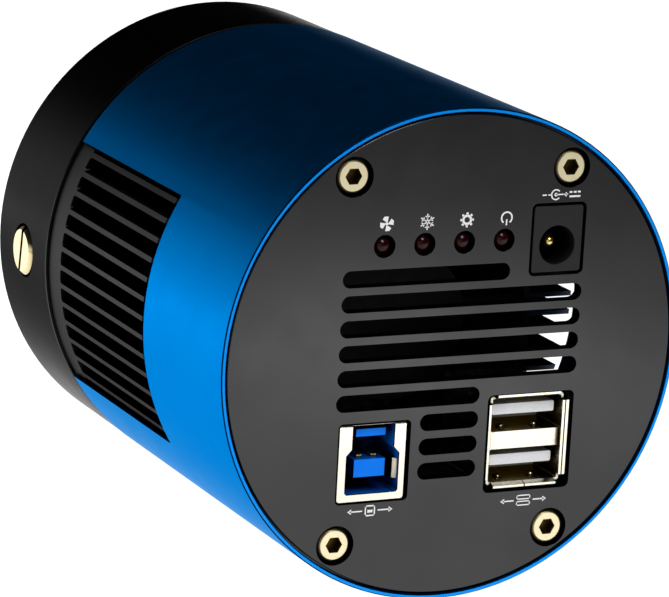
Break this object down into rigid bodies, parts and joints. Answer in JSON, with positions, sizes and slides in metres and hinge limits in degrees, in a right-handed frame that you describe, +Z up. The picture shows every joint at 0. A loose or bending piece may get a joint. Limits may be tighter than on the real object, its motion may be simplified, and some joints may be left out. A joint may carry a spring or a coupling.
{
  "type": "cooled astronomy camera",
  "caption": "Round fan-cooled astronomy camera: blue finned body, black sealed front with female thread, rear data and power sockets.",
  "frame": {"origin": "centre of the front face, where the optical axis leaves the mouth of the front thread", "axes": "+Y along the optical axis towards the telescope, +Z up with the two stacked data ports below the centre, +X to the right seen from behind"},
  "size_m": [0.0803, 0.099, 0.08],
  "materials": {
    "blue_anodised": "satin blue anodised",
    "black_rubber": "matte",
    "black_anodised": "satin black anodised",
    "pale_gold_steel": "pale gold plated",
    "brass": "machined",
    "plain_aluminium": "machined",
    "steel": "plain",
    "circuit_board": "soldermask green glass-fibre board",
    "chip_black": "moulded",
    "black_plastic": "moulded",
    "fan_plastic": "moulded",
    "contact_gold": "gold plated",
    "nickel": "bright nickel plated sheet",
    "lamp_red": "tinted clear epoxy",
    "blue_plastic": "moulded",
    "white_plastic": "moulded",
    "magnet": "sintered",
    "lamination": "stacked sheet",
    "copper": "enamelled wire",
    "lead_black": "insulated wire",
    "lead_red": "insulated wire",
    "sink_anodised": "satin dark anodised",
    "white_ceramic": "plain",
    "dark_ceramic": "plain",
    "silicon": "polished",
    "foam": "closed-cell foam",
    "nylon": "plain",
    "clear_glass": "coated",
    "ribbon": "polyimide film",
    "white_tablet": "pressed tablet"
  },
  "bodies": {
    "camera_body": {"board_brackets": "plain_aluminium", "bracket_screws": "steel", "chamber": "black_anodised", "chamber_o_ring": "black_rubber", "chamber_screws": "steel", "cold_finger": "plain_aluminium", "cooler_leads": "lead_red", "cooler_pellets": "magnet", "cooler_plates": "white_ceramic", "desiccant_tablet": "white_tablet", "fan_bearings": "steel", "fan_board": "circuit_board", "fan_coils": "copper", "fan_frame": "black_plastic", "fan_lead": "lead_black", "fan_screws": "steel", "fan_spacers": "black_rubber", "fan_stator": "lamination", "flange_screws": "steel", "front_flange": "black_anodised", "heat_sink": "sink_anodised", "indicator_lamp_blocks": "black_plastic", "indicator_lamp_legs": "steel", "indicator_lamps": "lamp_red", "insulation_foam": "foam", "lower_board": "circuit_board", "lower_board_components": "chip_black", "pillars": "brass", "power_jack_housing": "black_plastic", "power_jack_pin": "contact_gold", "power_jack_spring": "nickel", "rear_cover": "black_anodised", "rear_cover_screws": "pale_gold_steel", "sensor_board": "circuit_board", "sensor_board_screws": "steel", "sensor_cover_glass": "clear_glass", "sensor_die": "silicon", "sensor_package": "dark_ceramic", "sensor_ribbon": "ribbon", "sensor_standoffs": "nylon", "shell": "blue_anodised", "square_port_contacts": "contact_gold", "square_port_insulator": "blue_plastic", "square_port_shell": "nickel", "stacked_port_contacts": "contact_gold", "stacked_port_insulator": "white_plastic", "stacked_port_shell": "nickel", "upper_board": "circuit_board", "upper_board_components": "chip_black", "window_glass": "clear_glass", "window_o_ring": "black_rubber", "window_retainer": "black_anodised"},
    "fan_wheel": {"fan_rotor": "fan_plastic", "fan_magnet": "magnet", "fan_shaft": "steel"},
    "plug_ring": {"desiccant_plug_o_ring": "black_rubber"},
    "plug": {"desiccant_plug": "brass"}
  },
  "joints": [
    {"name": "fan_spin", "type": "hinge", "parent": "camera_body", "child": "fan_wheel", "pos_m": [0, -0.073, 0], "axis": [0, 1, 0], "continuous": true},
    {"name": "plug_out", "type": "slide", "parent": "camera_body", "child": "plug_ring", "axis": [-1, 0, 0], "range_m": [0, 0.00525]},
    {"name": "plug_turn", "type": "hinge", "parent": "plug_ring", "child": "plug", "pos_m": [-0.0385, -0.012, -0.0008], "axis": [-1, 0, 0], "range_deg": [0, 2521]}
  ],
  "couplings": [
    {"joint": "plug_turn", "follows": "plug_out", "rad_per_m": 8377.6}
  ]
}
